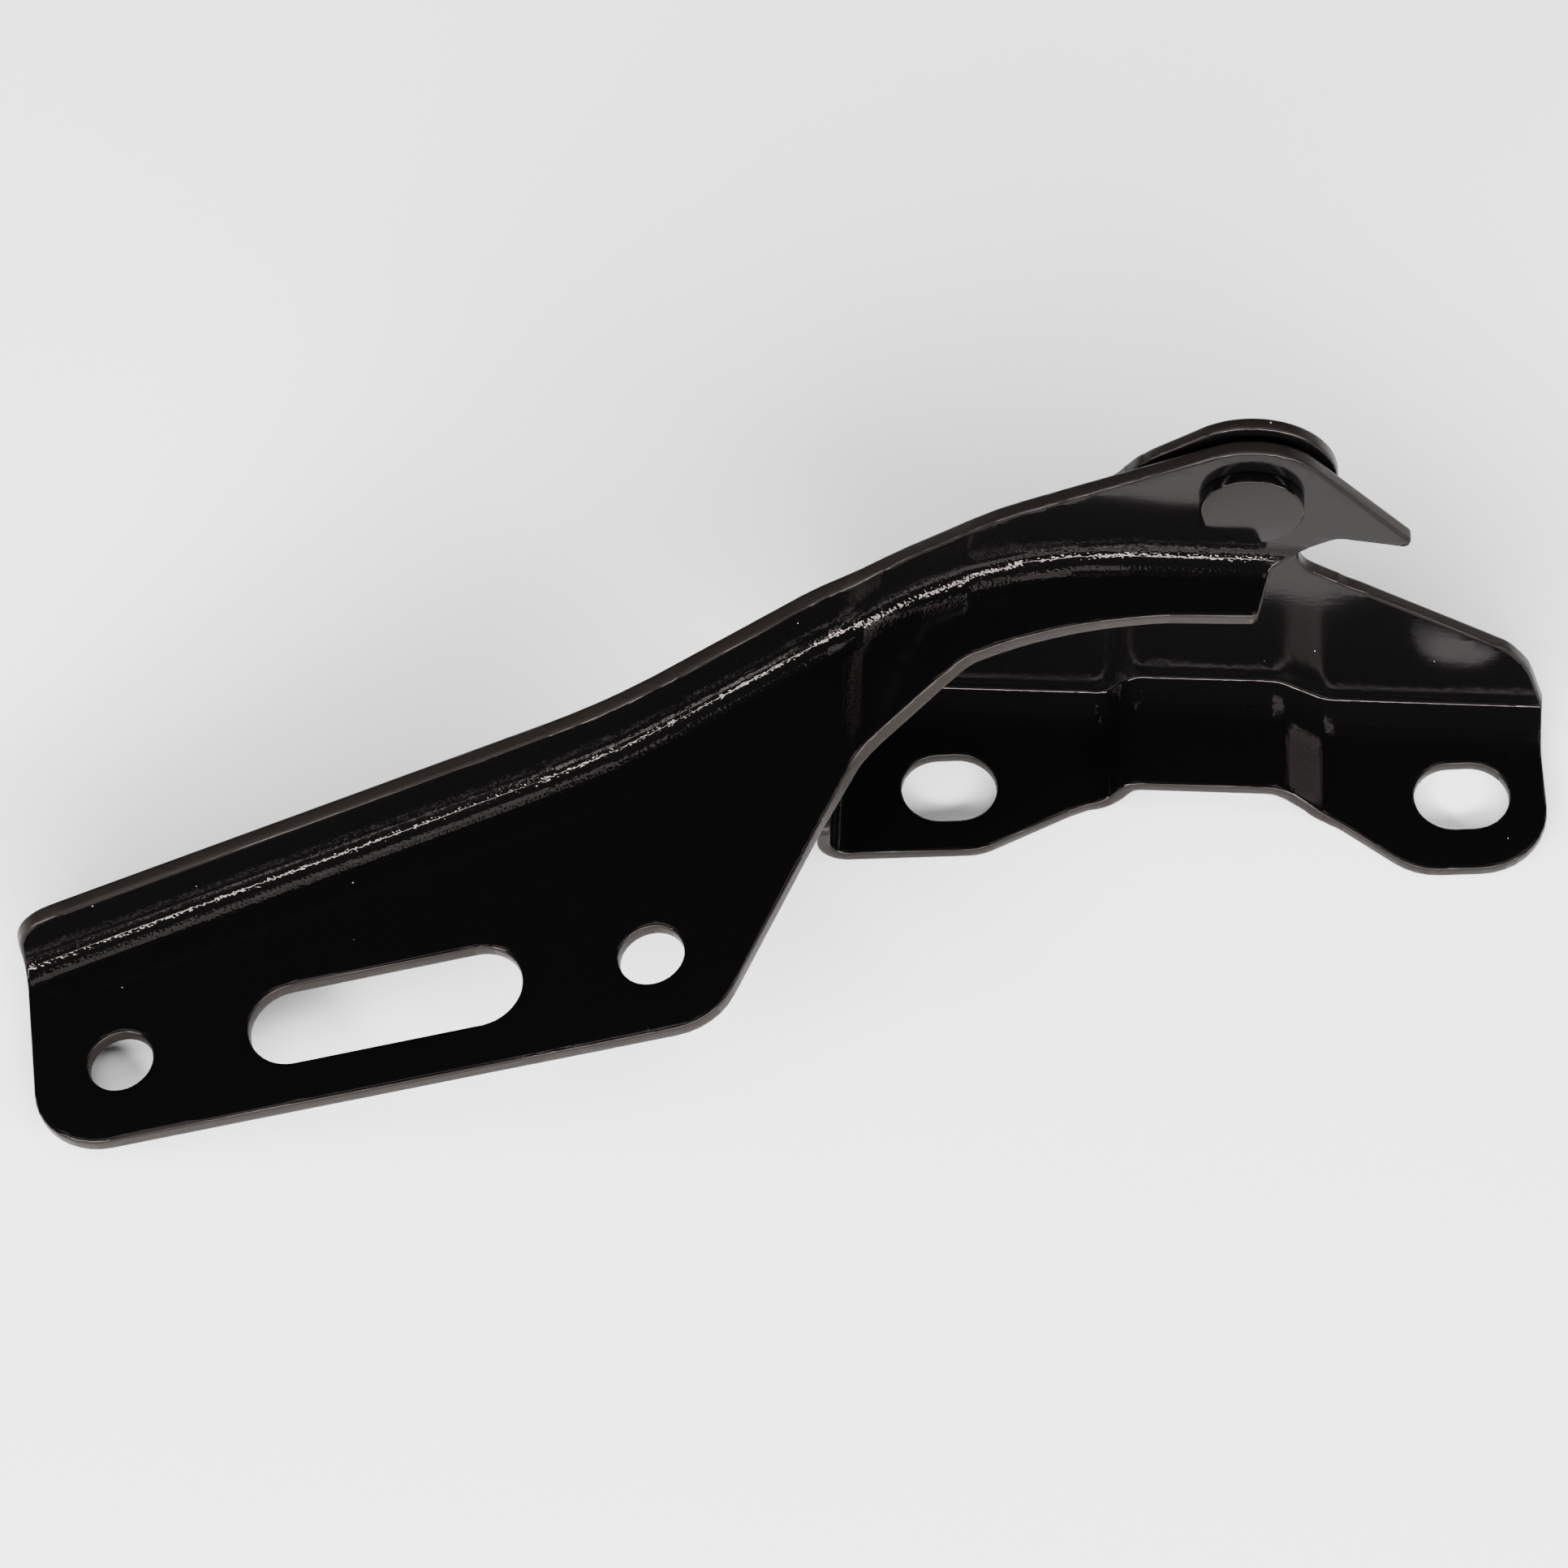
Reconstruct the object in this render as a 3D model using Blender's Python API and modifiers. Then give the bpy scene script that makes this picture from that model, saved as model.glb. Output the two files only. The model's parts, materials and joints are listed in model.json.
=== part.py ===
"""Bonnet hinge: a pressed arm that swings on a riveted pivot in front of a pressed body bracket.

All lengths are in metres. The outlines are laid out from the pivot: +X to the rear of the car,
+Y through the pivot to the back of the hinge, +Z up. Each pressing is drawn as a flat blank with
rolled edges, and the blank is then folded: a flange below, a round fold and a web that stands up.
"""

import math

import bpy
import bmesh
from mathutils import Vector

# Whole hinge
EDGE_ROLL = 0.0006            # rounding that blanking and paint leave on every sheet edge
PIVOT_HEIGHT = 0.0689         # pivot above the seat of the body bracket
RUNNING_GAP = 0.0003          # radial clearance between turned parts and their holes
FACE_GAP = 0.00012            # end clearance between faces that slide on each other

# Arm: sheet and side profile of its flange, front end to ear
ARM_SHEET = 0.0029
ARM_FOLD_RADIUS = 0.0045      # inside the fold
ARM_FLANGE_DROP = 0.0167      # pivot down to the flange's top face beside the ear
PAD_SLOPE = 0.20              # rise over run of the mounting pad in the rest pose
NECK_SLOPE = 0.80             # rise over run of the gooseneck
NECK_TOP_X = -0.0391          # where the neck would meet the level flange
NECK_TOP_RADIUS = 0.055
NECK_FOOT_RADIUS = 0.014

# Arm: plan line of its web, which turns towards the bonnet bolts near the neck's foot
WEB_TURN_FROM_FOOT = 0.0018
WEB_TURN_SLOPE = 0.575
WEB_TURN_RADIUS = 0.035
WEB_EASE_LENGTH = 0.0403      # from that turn to where the web eases to its last heading
WEB_EASE_SLOPE = 0.35
WEB_EASE_RADIUS = 0.120

# Arm: mounting pad
PAD_WIDTH = 0.0377            # web to free edge at the front end
PAD_YAW = 0.15                # the free edge and the row of holes against the pivot's square
PAD_CORNER_RADIUS = 0.012
PAD_CORNER_LENGTH = 0.0059    # the front end leans back by this much at the free edge's corner
PAD_REAR_RADIUS = 0.012
PAD_REAR_LENGTH = 0.0112      # rear hole to the pad's rear corner
PAD_END_LENGTH = 0.0183       # front end to the front hole
PAD_HOLE_PITCH = 0.0885       # along X between the round holes
PAD_FOOT_LENGTH = 0.0307      # rear hole to the neck's foot
PAD_HOLE_EDGE = 0.0155        # row of holes to the free edge
PAD_HOLE_DIAMETER = 0.0111
PAD_SLOT_LENGTH = 0.0470
PAD_SLOT_WIDTH = 0.0152
PAD_SLOT_SHIFT = 0.0006       # its centre from the row of holes towards the web

# Arm: free edge from the neck to the ear
NECK_FOOT_WIDTH = 0.0275      # web to free edge beside the neck's foot
NECK_FOOT_SHIFT = 0.0020      # that place behind the foot
NECK_TOP_WIDTH = 0.0166       # web to free edge beside the neck's top
NECK_TOP_SHIFT = 0.0076       # that place in front of the neck's top
NECK_EDGE_RADIUS = 0.008
EAR_FLANGE_WIDTH = 0.0117
EAR_FLANGE_X = -0.0140        # behind this the free edge runs level with the web
EAR_FLANGE_RADIUS = 0.020
FLANGE_END_X = 0.0019
FLANGE_END_WIDTH = 0.0113
FLANGE_END_RADIUS = 0.0015

# Arm: upper edge of its web, ear and nose
ARM_WEB_HEIGHT = 0.0125       # web above the flange along the pad
ARM_FRONT_RADIUS = 0.007
WEB_DIP_SHIFT = 0.0019        # where the upper edge turns up, behind the neck's foot
WEB_DIP_RADIUS = 0.020
CREST_SHIFT = 0.0028          # where it turns level, in front of the neck's top
CREST_HEIGHT = 0.0091         # and above the level flange
CREST_RADIUS = 0.050
ARM_EAR_RADIUS = 0.0135
NOSE_LENGTH = 0.0292
NOSE_DROP = 0.0124
NOSE_RADIUS = 0.0013
THROAT_X = 0.0148
THROAT_DROP = 0.0101
THROAT_RADIUS = 0.0040
NOTCH_X = 0.0039              # where the throat ends in the fold
NOTCH_LIFT = 0.0022           # and how far round the fold it ends
NOTCH_RADIUS = 0.0025

# Bracket: sheet, folds and side profile of its flange, lip to rear edge
BRACKET_SHEET = 0.0025
FLARE_RADIUS = 0.012          # the flange lifts gently towards the web
FLARE_TURN = 38.0             # degrees
CREASE_RADIUS = 0.0010        # and then meets it in a tight crease
LIP_X = -0.0683               # inner face of the lip
LIP_HEIGHT = 0.0081           # upturned front end, above the flange
LIP_FOLD_RADIUS = 0.0030
LIP_CORNER_RADIUS = 0.0020
LIP_RELIEF = 0.0010           # gap between the lip and the start of the fold
LIP_RELIEF_RADIUS = 0.0008
SADDLE_RISE = 0.0052          # the raised middle of the flange
SADDLE_FRONT_X = -0.0180
SADDLE_FRONT_RADIUS = 0.0050
FRONT_RAMP_LENGTH = 0.0037
FRONT_RAMP_RADIUS = 0.0040
SADDLE_REAR_X = 0.0080
SADDLE_REAR_RADIUS = 0.0080
REAR_RAMP_LENGTH = 0.0085
REAR_RAMP_RADIUS = 0.0060

# Bracket: feet, their slots and the arched free edge between them
BRACKET_REAR = 0.0552         # pivot to the rear edge of the flange
FRONT_FOOT_REACH = 0.0275     # pivot plane to the front foot's free edge beside its slot
REAR_FOOT_REACH = 0.0278
FOOT_YAW = 0.075              # turn of the feet's free edges, as rise over run
REAR_CORNER_RADIUS = 0.0125
FRONT_KNEE_RADIUS = 0.0100
FRONT_KNEE_LENGTH = 0.0059    # front slot back to where the free edge turns into the arch
REAR_KNEE_RADIUS = 0.0120
REAR_KNEE_LENGTH = 0.0082     # rear slot forward to where the free edge turns into the arch
ARCH_REACH = 0.0160           # pivot plane to the free edge of the arch
ARCH_FRONT_X = -0.0230
ARCH_REAR_X = 0.0140
ARCH_RADIUS = 0.020
FOOT_SLOT_LENGTH = 0.0163
FOOT_SLOT_WIDTH = 0.0132
FOOT_SLOT_TURN = 5.0          # degrees
FRONT_SLOT_LIP = 0.0199       # front slot to the lip's inner face
FRONT_SLOT_EDGE = 0.0130      # front slot to the free edge
REAR_SLOT_END = 0.0155        # rear slot to the rear edge
REAR_SLOT_EDGE = 0.0150       # rear slot to the free edge

# Bracket: web, up its front flank, over the ear and down its rear flank
WEB_FRONT_LENGTH = 0.0053     # lip's inner face to the web's front edge
WEB_FRONT_LEAN = 0.0010
WEB_FRONT_HEIGHT = 0.0104     # above the flange
WEB_FRONT_RADIUS = 0.0040
FRONT_FLANK_LENGTH = 0.0093   # lip's inner face to the foot of the front flank
FRONT_FLANK_HEIGHT = 0.0204
FLANK_RADIUS = 0.0120
FRONT_FLANK_TOP_X = -0.0172
FRONT_FLANK_TOP_LIFT = 0.0046
BRACKET_EAR_RADIUS = 0.0143
EAR_NECK_X = 0.0080           # where the rear flank starts below the ear
EAR_NECK_DROP = 0.0236
EAR_NECK_RADIUS = 0.0060
REAR_FLANK_LENGTH = 0.0084    # rear edge to where the rear flank turns down
REAR_FLANK_HEIGHT = 0.0188
REAR_FLANK_RADIUS = 0.0090
WEB_REAR_LENGTH = 0.0046
WEB_REAR_HEIGHT = 0.0135
WEB_REAR_RADIUS = 0.0120
WEB_END_LENGTH = 0.0016       # rear edge of the flange to the web's rear edge

# Pivot
SHOULDER_RADIUS = 0.0050      # the rivet's bearing shoulder
BUSH_WALL = 0.0010
BUSH_FLANGE_RADIUS = 0.0088
BUSH_FLANGE = 0.0008
BUSH_BEVEL = 0.0002
THRUST_WASHER = 0.0006
THRUST_WASHER_RADIUS = 0.0092
THRUST_WASHER_BEVEL = 0.0001
HEAD_RADIUS = 0.0087
HEAD_HEIGHT = 0.0022
HEAD_BEVEL = 0.00035
NECK_RADIUS = 0.0040          # the shank past the shoulder
TAIL_WASHER = 0.0012
TAIL_WASHER_RADIUS = 0.0085
TAIL_WASHER_BEVEL = 0.0002
TAIL_RADIUS = 0.0070
TAIL_HEIGHT = 0.0024
TAIL_ROUND_RADIUS = 0.0011

# Worked out
BUSH_BORE = SHOULDER_RADIUS + RUNNING_GAP
BUSH_RADIUS = BUSH_BORE + BUSH_WALL
ARM_EYE_RADIUS = BUSH_RADIUS + RUNNING_GAP
NECK_HOLE_RADIUS = NECK_RADIUS + RUNNING_GAP
BRACKET_FACE = ARM_SHEET + BUSH_FLANGE + FACE_GAP + THRUST_WASHER
BRACKET_BACK = BRACKET_FACE + BRACKET_SHEET
BRACKET_SEAT = BRACKET_SHEET - PIVOT_HEIGHT
BACK = BRACKET_BACK + TAIL_WASHER + TAIL_HEIGHT
PAD_LENGTH = PAD_END_LENGTH + PAD_HOLE_PITCH + PAD_FOOT_LENGTH

# Fineness of the round shapes
TURN_STEPS = 40
ARC_STEP = math.radians(10.0)
WALK_STEP = 0.005             # longest straight step of an outline that crosses a fold or bend
LEAST_STRIP = 0.00005         # cuts of the blank that lie closer together count as one
SNAP = 0.00001                # a corner this close to a cut lies on it


class Path:
    """Straights joined by tangent arcs in one plane, walked by length."""

    def __init__(self, corners):
        self.pieces = []
        self.length = 0.0
        points = [Vector(corner[:2]) for corner in corners]
        turns = [0.0]
        for before, point, after in zip(points, points[1:], points[2:]):
            arriving, leaving = point - before, after - point
            turns.append(math.atan2(arriving.cross(leaving), arriving.dot(leaving)))
        turns.append(0.0)
        trims = self.trims(corners, points, turns)
        start = points[0]
        for index in range(1, len(points)):
            heading = (points[index] - points[index - 1]).normalized()
            reach = (points[index] - points[index - 1]).length - trims[index - 1]
            self.add(start, heading, reach - trims[index], 0.0)
            start = points[index] - heading * trims[index]
            if trims[index] > 0.0:
                radius = trims[index] / math.tan(abs(turns[index]) / 2)
                bend = math.copysign(1.0 / radius, turns[index])
                self.add(start, heading, radius * abs(turns[index]), bend)
                start = self.at(self.length)[0]

    def trims(self, corners, points, turns):
        """What each arc takes off the straights beside it, limited by the straights' lengths."""
        trims = [0.0]
        for corner, turn in zip(corners[1:-1], turns[1:-1]):
            trims.append(corner[2] * math.tan(abs(turn) / 2))
        trims.append(0.0)
        for index in range(1, len(points)):
            room = (points[index] - points[index - 1]).length
            taken = trims[index - 1] + trims[index]
            if taken > room:
                trims[index - 1] *= room / taken
                trims[index] *= room / taken
        return trims

    def add(self, point, heading, length, bend):
        self.pieces.append((self.length, length, point, heading, bend))
        self.length += length

    def at(self, distance):
        """Point and heading at a distance along the path."""
        found = self.pieces[0]
        for piece in self.pieces:
            if piece[0] <= distance:
                found = piece
        begin, _, point, heading, bend = found
        run = distance - begin
        if bend == 0.0:
            return point + heading * run, heading
        angle = bend * run
        left = Vector((-heading.y, heading.x))
        ahead = heading * (math.sin(angle) / bend)
        aside = left * ((1.0 - math.cos(angle)) / bend)
        return point + ahead + aside, heading * math.cos(angle) + left * math.sin(angle)

    def distance_at(self, x):
        """Distance at which the path reaches x, where it runs towards +X."""
        low, high = self.level_start, self.length
        for _ in range(48):
            middle = (low + high) / 2
            if self.at(middle)[0].x < x:
                low = middle
            else:
                high = middle
        return (low + high) / 2

    @property
    def level_start(self):
        """Where the path begins to run towards +X."""
        begin = 0.0
        for start, length, _, heading, bend in self.pieces:
            if heading.x < 0.5 and bend == 0.0:
                begin = start + length
        return begin

    def stations(self):
        """Distances at which the path bends: every arc's ends and its steps."""
        marks = []
        for begin, length, _, _, bend in self.pieces:
            if bend != 0.0:
                steps = max(2, math.ceil(abs(bend) * length / ARC_STEP))
                marks += [begin + length * step / steps for step in range(steps + 1)]
        return marks


def fold_section(*bends):
    """Section of a fold from flange to web: arcs of a radius and an angle, one after the other.

    Its last tangent corner is where the flange's and the web's planes would meet.
    """
    corners = []
    point = Vector((0.0, 0.0))
    turned = 0.0
    trim = 0.0
    for radius, angle in bends:
        next_trim = radius * math.tan(angle / 2)
        point += Vector((math.cos(turned), math.sin(turned))) * (trim + next_trim)
        corners.append((point.x, point.y, radius))
        turned += angle
        trim = next_trim
    end = (point.x, point.y + trim, 0.0)
    return Path([(x - point.x, y, radius) for x, y, radius in [(0.0, 0.0, 0.0), *corners, end]])


class Pressing:
    """A folded sheet. Its faces follow a side profile, and its web follows a plan line."""

    def __init__(self, sheet, profile, plan, section):
        self.sheet = sheet
        self.profile = profile
        self.plan = plan
        self.section = section
        self.fold_width = -section.at(0.0)[0].x
        self.fold_height = section.at(section.length)[0].y

    def on_flange(self, x, y):
        """Blank coordinates of a point of the flange's top face."""
        web = self.plan.at(self.plan.distance_at(x))[0].y
        return self.profile.distance_at(x), y - web + self.fold_width

    def on_web(self, x, z):
        """Blank coordinates of a point of the web's front face."""
        run = self.profile.distance_at(x)
        flange = self.profile.at(run)[0].y
        return run, z - flange - self.fold_height + self.section.length

    def place(self, run, across, depth):
        """Where a point of the blank ends up, depth being measured into the sheet."""
        point, heading = self.profile.at(run)
        along = self.plan.at(self.plan.distance_at(point.x))
        drift = heading.x * along[1].y / along[1].x
        spot, lean = self.section.at(min(max(across, 0.0), self.section.length))
        y = along[0].y + spot.x + min(across, 0.0)
        z = point.y + spot.y + max(across - self.section.length, 0.0)
        normal = Vector((drift * lean.y - heading.y * lean.x, -heading.x * lean.y, heading.x * lean.x))
        return Vector((point.x, y, z)) - normal.normalized() * depth

    def cuts(self):
        """Where the flat blank has to be divided so that it can bend."""
        runs = self.profile.stations()
        for mark in self.plan.stations():
            runs.append(self.profile.distance_at(self.plan.at(mark)[0].x))
        return runs, self.section.stations()


def soften(corners):
    """Points of an open outline whose corners are given as x, y and a radius."""
    path = Path(corners)
    marks = [0.0, path.length]
    for begin, length, _, _, bend in path.pieces:
        turn = abs(bend) * length
        steps = max(1, math.ceil(turn / ARC_STEP), math.ceil(length / WALK_STEP))
        marks += [begin + length * step / steps for step in range(steps + 1)]
    points = []
    for mark in sorted(marks):
        point = path.at(mark)[0]
        if not points or (point - points[-1]).length > 1e-6:
            points.append(point)
    return [tuple(point) for point in points]


def circle(centre, radius):
    turns = [2 * math.pi * step / TURN_STEPS for step in range(TURN_STEPS)]
    return [(centre[0] + radius * math.cos(a), centre[1] + radius * math.sin(a)) for a in turns]


def slot(centre, length, width, yaw):
    """Outline of a slot with round ends, its long axis turned by yaw."""
    radius = width / 2
    reach = length / 2 - radius
    points = []
    for side in (1, -1):
        for step in range(TURN_STEPS // 2 + 1):
            a = math.pi * (step / (TURN_STEPS // 2) - 0.5)
            x = side * (reach + radius * math.cos(a))
            y = side * radius * math.sin(a)
            turned = (x * math.cos(yaw) - y * math.sin(yaw), x * math.sin(yaw) + y * math.cos(yaw))
            points.append((centre[0] + turned[0], centre[1] + turned[1]))
    return points


def touch_angle(point, radius, side):
    """Angle, between -90 and 270 degrees, where a line from a point touches a circle round the pivot."""
    away = math.atan2(point[1], point[0]) + side * math.acos(radius / math.hypot(*point))
    return (away + math.pi / 2) % (2 * math.pi) - math.pi / 2


def on_circle(radius, angle):
    return radius * math.cos(angle), radius * math.sin(angle)


def ear(radius, begin, end):
    """Points over the top of an ear, clockwise from one angle to another."""
    steps = math.ceil(abs(begin - end) / math.radians(5.0))
    return [on_circle(radius, begin + (end - begin) * step / steps) for step in range(steps + 1)]


def blank(sheet, loops):
    """A flat plate with rolled edges, its outline first and then its holes."""
    curve = bpy.data.curves.new("blank", "CURVE")
    curve.dimensions = "2D"
    curve.fill_mode = "BOTH"
    curve.extrude = sheet / 2 - EDGE_ROLL
    curve.bevel_depth = EDGE_ROLL
    curve.bevel_resolution = 1
    curve.offset = -EDGE_ROLL
    for loop in loops:
        spline = curve.splines.new("POLY")
        spline.points.add(len(loop) - 1)
        for point, (x, y) in zip(spline.points, loop):
            point.co = (x, y, 0.0, 1.0)
        spline.use_cyclic_u = True
    outline = bpy.data.objects.new("blank", curve)
    bpy.context.scene.collection.objects.link(outline)
    bpy.context.view_layer.update()
    flat = outline.evaluated_get(bpy.context.evaluated_depsgraph_get())
    mesh = bpy.data.meshes.new_from_object(flat)
    bpy.data.objects.remove(outline)
    bpy.data.curves.remove(curve)
    return mesh


def divide(form, values, axis):
    """Cut every face of the blank along straight lines, so that it can bend there."""
    last = -math.inf
    for value in sorted(values):
        if value - last < LEAST_STRIP:
            continue
        last = value
        place = Vector((0.0, 0.0, 0.0))
        place[axis] = value
        direction = Vector((0.0, 0.0, 0.0))
        direction[axis] = 1.0
        everything = form.verts[:] + form.edges[:] + form.faces[:]
        bmesh.ops.bisect_plane(form, geom=everything, dist=SNAP, plane_co=place, plane_no=direction)


def press(name, pressing, loops):
    """Blank a sheet and fold it."""
    mesh = blank(pressing.sheet, loops)
    form = bmesh.new()
    form.from_mesh(mesh)
    bmesh.ops.remove_doubles(form, verts=form.verts[:], dist=1e-6)
    bmesh.ops.dissolve_limit(
        form, angle_limit=math.radians(1.0), verts=[], edges=form.edges[:])
    runs, across = pressing.cuts()
    divide(form, runs, 0)
    divide(form, across, 1)
    bmesh.ops.triangulate(form, faces=form.faces[:])
    for vertex in form.verts:
        run, over, height = vertex.co
        vertex.co = pressing.place(run, over, pressing.sheet / 2 - height)
    bmesh.ops.recalc_face_normals(form, faces=form.faces[:])
    form.to_mesh(mesh)
    form.free()
    mesh.name = name
    mesh.shade_smooth()
    mesh.set_sharp_from_angle(angle=math.radians(50.0))
    return mesh


def arm_pressing():
    """Side profile of the arm's flange and plan line of its web, front end to ear."""
    pad_end = -PIVOT_HEIGHT + ARM_SHEET * math.cos(math.atan(PAD_SLOPE))
    foot_z = pad_end + PAD_SLOPE * PAD_LENGTH
    foot_x = NECK_TOP_X - (-ARM_FLANGE_DROP - foot_z) / NECK_SLOPE
    front_x = foot_x - PAD_LENGTH
    spare = 0.010
    profile = Path([
        (front_x - spare, pad_end - PAD_SLOPE * spare, 0.0),
        (foot_x, foot_z, NECK_FOOT_RADIUS),
        (NECK_TOP_X, -ARM_FLANGE_DROP, NECK_TOP_RADIUS),
        (NOSE_LENGTH + spare, -ARM_FLANGE_DROP, 0.0),
    ])
    turn_x = foot_x + WEB_TURN_FROM_FOOT
    ease_x = turn_x - WEB_EASE_LENGTH
    ease_y = -WEB_TURN_SLOPE * WEB_EASE_LENGTH
    plan = Path([
        (front_x - spare, ease_y + WEB_EASE_SLOPE * (front_x - spare - ease_x), 0.0),
        (ease_x, ease_y, WEB_EASE_RADIUS),
        (turn_x, 0.0, WEB_TURN_RADIUS),
        (NOSE_LENGTH + spare, 0.0, 0.0),
    ])
    section = fold_section((ARM_FOLD_RADIUS, math.pi / 2))
    return Pressing(ARM_SHEET, profile, plan, section), foot_x, front_x


def arm_mesh():
    pressing, foot_x, front_x = arm_pressing()
    pad_end = pressing.profile.at(pressing.profile.distance_at(front_x))[0].y

    # Web: up the front end, along the top edge, over the ear and down to the nose
    dip_x = foot_x + WEB_DIP_SHIFT
    dip_z = pad_end + ARM_WEB_HEIGHT + PAD_SLOPE * (dip_x - front_x)
    crest = (NECK_TOP_X - CREST_SHIFT, CREST_HEIGHT - ARM_FLANGE_DROP)
    nose = (NOSE_LENGTH, -NOSE_DROP)
    begin = touch_angle(crest, ARM_EAR_RADIUS, -1)
    end = touch_angle(nose, ARM_EAR_RADIUS, 1)
    web = soften([
        (front_x, pad_end + pressing.fold_height, 0.0),
        (front_x, pad_end + ARM_WEB_HEIGHT, ARM_FRONT_RADIUS),
        (dip_x, dip_z, WEB_DIP_RADIUS),
        (*crest, CREST_RADIUS),
        (*on_circle(ARM_EAR_RADIUS, begin), 0.0),
    ])
    web += ear(ARM_EAR_RADIUS, begin, end)
    outline = [pressing.on_web(x, z) for x, z in web]

    # Nose, throat and rear end of the flange
    join = ((FLANGE_END_X + EAR_FLANGE_X) / 2, -(FLANGE_END_WIDTH + EAR_FLANGE_WIDTH) / 2)
    outline += soften([
        (*outline[-1], 0.0),
        (*pressing.on_web(*nose), NOSE_RADIUS),
        (*pressing.on_web(THROAT_X, -THROAT_DROP), THROAT_RADIUS),
        (pressing.profile.distance_at(NOTCH_X), NOTCH_LIFT, NOTCH_RADIUS),
        (*pressing.on_flange(FLANGE_END_X, -FLANGE_END_WIDTH), FLANGE_END_RADIUS),
        (*pressing.on_flange(*join), 0.0),
    ])[1:]

    # Free edge of the flange, then round the front corner to the fold
    edge_y = pressing.plan.at(pressing.plan.distance_at(front_x))[0].y - PAD_WIDTH
    hole_front_x = front_x + PAD_END_LENGTH
    hole_rear_x = hole_front_x + PAD_HOLE_PITCH
    corner_x = front_x + PAD_CORNER_LENGTH
    rear_x = hole_rear_x + PAD_REAR_LENGTH
    lean = -PAD_YAW * (PAD_WIDTH - PAD_CORNER_LENGTH)

    def edge_at(x):
        return edge_y + PAD_YAW * (x - front_x)

    edge = soften([
        (*join, 0.0),
        (EAR_FLANGE_X, -EAR_FLANGE_WIDTH, EAR_FLANGE_RADIUS),
        (NECK_TOP_X - NECK_TOP_SHIFT, -NECK_TOP_WIDTH, NECK_EDGE_RADIUS),
        (foot_x + NECK_FOOT_SHIFT, -NECK_FOOT_WIDTH, NECK_EDGE_RADIUS),
        (rear_x, edge_at(rear_x), PAD_REAR_RADIUS),
        (corner_x, edge_at(corner_x), PAD_CORNER_RADIUS),
        (corner_x + lean, edge_at(corner_x) + PAD_WIDTH - PAD_CORNER_LENGTH, 0.0),
    ])
    outline += [pressing.on_flange(x, y) for x, y in edge][1:]

    # Holes
    def in_pad(points, centre):
        """A hole drawn square to the pad: lengths along X are foreshortened by its slope."""
        flat = math.cos(math.atan(PAD_SLOPE))
        return [pressing.on_flange(centre[0] + (x - centre[0]) * flat, y) for x, y in points]

    def in_row(x):
        return x, edge_at(x) + PAD_HOLE_EDGE

    hole_front = in_row(hole_front_x)
    hole_rear = in_row(hole_rear_x)
    slot_x, row_y = in_row((hole_front_x + hole_rear_x) / 2)
    middle = (slot_x, row_y + PAD_SLOT_SHIFT)
    pad_slot = slot(middle, PAD_SLOT_LENGTH, PAD_SLOT_WIDTH, math.atan(PAD_YAW))
    holes = [
        [pressing.on_web(x, z) for x, z in circle((0.0, 0.0), ARM_EYE_RADIUS)],
        in_pad(circle(hole_front, PAD_HOLE_DIAMETER / 2), hole_front),
        in_pad(circle(hole_rear, PAD_HOLE_DIAMETER / 2), hole_rear),
        in_pad(pad_slot, middle),
    ]
    return press("bonnet_arm", pressing, [outline] + holes)


def bracket_pressing():
    """Side profile of the bracket's flange: lip, front foot, saddle and rear foot."""
    spare = 0.010
    saddle = BRACKET_SEAT + SADDLE_RISE
    profile = Path([
        (LIP_X, BRACKET_SEAT + LIP_HEIGHT, 0.0),
        (LIP_X, BRACKET_SEAT, LIP_FOLD_RADIUS),
        (SADDLE_FRONT_X - FRONT_RAMP_LENGTH, BRACKET_SEAT, FRONT_RAMP_RADIUS),
        (SADDLE_FRONT_X, saddle, SADDLE_FRONT_RADIUS),
        (SADDLE_REAR_X, saddle, SADDLE_REAR_RADIUS),
        (SADDLE_REAR_X + REAR_RAMP_LENGTH, BRACKET_SEAT, REAR_RAMP_RADIUS),
        (BRACKET_REAR + spare, BRACKET_SEAT, 0.0),
    ])
    plan = Path([(LIP_X - spare, BRACKET_FACE, 0.0), (BRACKET_REAR + spare, BRACKET_FACE, 0.0)])
    flare = math.radians(FLARE_TURN)
    section = fold_section((FLARE_RADIUS, flare), (CREASE_RADIUS, math.pi / 2 - flare))
    return Pressing(BRACKET_SHEET, profile, plan, section)


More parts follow.
